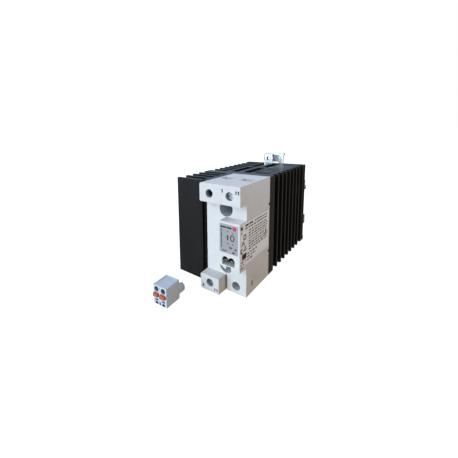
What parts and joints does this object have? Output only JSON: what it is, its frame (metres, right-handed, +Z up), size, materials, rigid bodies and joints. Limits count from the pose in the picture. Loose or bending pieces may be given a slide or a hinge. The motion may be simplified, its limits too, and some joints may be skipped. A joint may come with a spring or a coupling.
{
  "type": "solid state relay",
  "caption": "Solid state relay: a switching module with wire terminals on a finned heatsink, with a sprung rail clip and a plug-in control connector.",
  "frame": {"origin": "on the floor, under the middle of the whole set: the relay and the loose control plug in front of it", "axes": "+Z up along the extrusion; -Y is the front with the terminals, +Y the back with the rail clip; +X to the right as seen from the front"},
  "size_m": [0.0692, 0.1983, 0.101],
  "materials": {
    "black_anodised": "satin black anodised extrusion",
    "thermal_pad": "matte",
    "plate_metal": "satin nickel-plated",
    "ceramic": "matte",
    "silicon": "polished",
    "copper": "satin copper",
    "zinc_steel": "bright zinc plated",
    "zinc_screw": "bright zinc plated",
    "board": "solder-masked laminate",
    "coupler_white": "matte",
    "varistor_blue": "dipped coating",
    "capacitor_yellow": "moulded case",
    "resistor_body": "lacquered",
    "led_green": "clear",
    "clear_plastic": "clear moulded",
    "header_grey": "matte",
    "tinned_pins": "tin plated",
    "black_plastic": "matte",
    "housing_grey": "fine moulded texture",
    "label_silver": "satin foil",
    "label_white": "printed foil",
    "zinc_sheet": "bright zinc plated",
    "spring_steel": "drawn wire",
    "plug_grey": "fine moulded texture",
    "lever_orange": "moulded"
  },
  "bodies": {
    "relay": {"heatsink": "black_anodised", "thermal_pad": "thermal_pad", "base_plate": "plate_metal", "ceramic_substrate": "ceramic", "thyristor_chips": "silicon", "chip_straps": "copper", "line_busbar": "copper", "load_busbar": "copper", "control_board": "board", "trigger_couplers": "coupler_white", "varistor": "varistor_blue", "snubber_capacitor": "capacitor_yellow", "snubber_resistor": "resistor_body", "status_led": "led_green", "light_pipe": "clear_plastic", "control_header": "header_grey", "control_pins": "tinned_pins", "base_frame": "black_plastic", "housing_cover": "housing_grey", "front_label": "label_silver", "rating_label": "label_white", "module_screws": "zinc_screw", "rail_plate": "zinc_sheet", "rail_plate_screws": "zinc_screw", "latch_springs": "spring_steel"},
    "line_screw": {"line_screw": "zinc_screw"},
    "line_clamp": {"line_clamp": "zinc_steel"},
    "load_screw": {"load_screw": "zinc_screw"},
    "load_clamp": {"load_clamp": "zinc_steel"},
    "rail_latch": {"rail_latch": "zinc_sheet"},
    "plug": {"plug_housing": "plug_grey", "plug_clamp_springs": "spring_steel", "plug_contacts": "tinned_pins"},
    "plug_lever_left": {"plug_lever_left": "lever_orange"},
    "plug_lever_right": {"plug_lever_right": "lever_orange"}
  },
  "joints": [
    {"name": "line_clamp_slide", "type": "slide", "parent": "relay", "child": "line_clamp", "axis": [0, -1, 0], "range_m": [0, 0.006]},
    {"name": "line_screw_turn", "type": "hinge", "parent": "relay", "child": "line_screw", "pos_m": [0.0257, -0.05311, 0.0821], "axis": [0, 1, 0], "range_deg": [0, 2703]},
    {"name": "load_clamp_slide", "type": "slide", "parent": "relay", "child": "load_clamp", "axis": [0, -1, 0], "range_m": [0, 0.006]},
    {"name": "load_screw_turn", "type": "hinge", "parent": "relay", "child": "load_screw", "pos_m": [0.0077, -0.05361, 0.0078], "axis": [0, 1, 0], "range_deg": [0, 2703]},
    {"name": "rail_latch_slide", "type": "slide", "parent": "relay", "child": "rail_latch", "axis": [0, 0, -1], "range_m": [0, 0.004], "stiffness_N_per_m": 800, "springref_m": -0.004, "deforming": ["latch_springs"]},
    {"name": "plug_lift", "type": "slide", "parent": "relay", "child": "plug", "axis": [0, 0, 1], "range_m": [0, 0.03]},
    {"name": "plug_lever_left_press", "type": "slide", "parent": "plug", "child": "plug_lever_left", "axis": [-0.0732, 0.9973, 0], "range_m": [0, 0.0015], "stiffness_N_per_m": 1500, "springref_m": -0.0005},
    {"name": "plug_lever_right_press", "type": "slide", "parent": "plug", "child": "plug_lever_right", "axis": [-0.0732, 0.9973, 0], "range_m": [0, 0.0015], "stiffness_N_per_m": 1500, "springref_m": -0.0005}
  ],
  "couplings": [
    {"joint": "line_screw_turn", "follows": "line_clamp_slide", "rad_per_m": 7854},
    {"joint": "load_screw_turn", "follows": "load_clamp_slide", "rad_per_m": 7854}
  ]
}
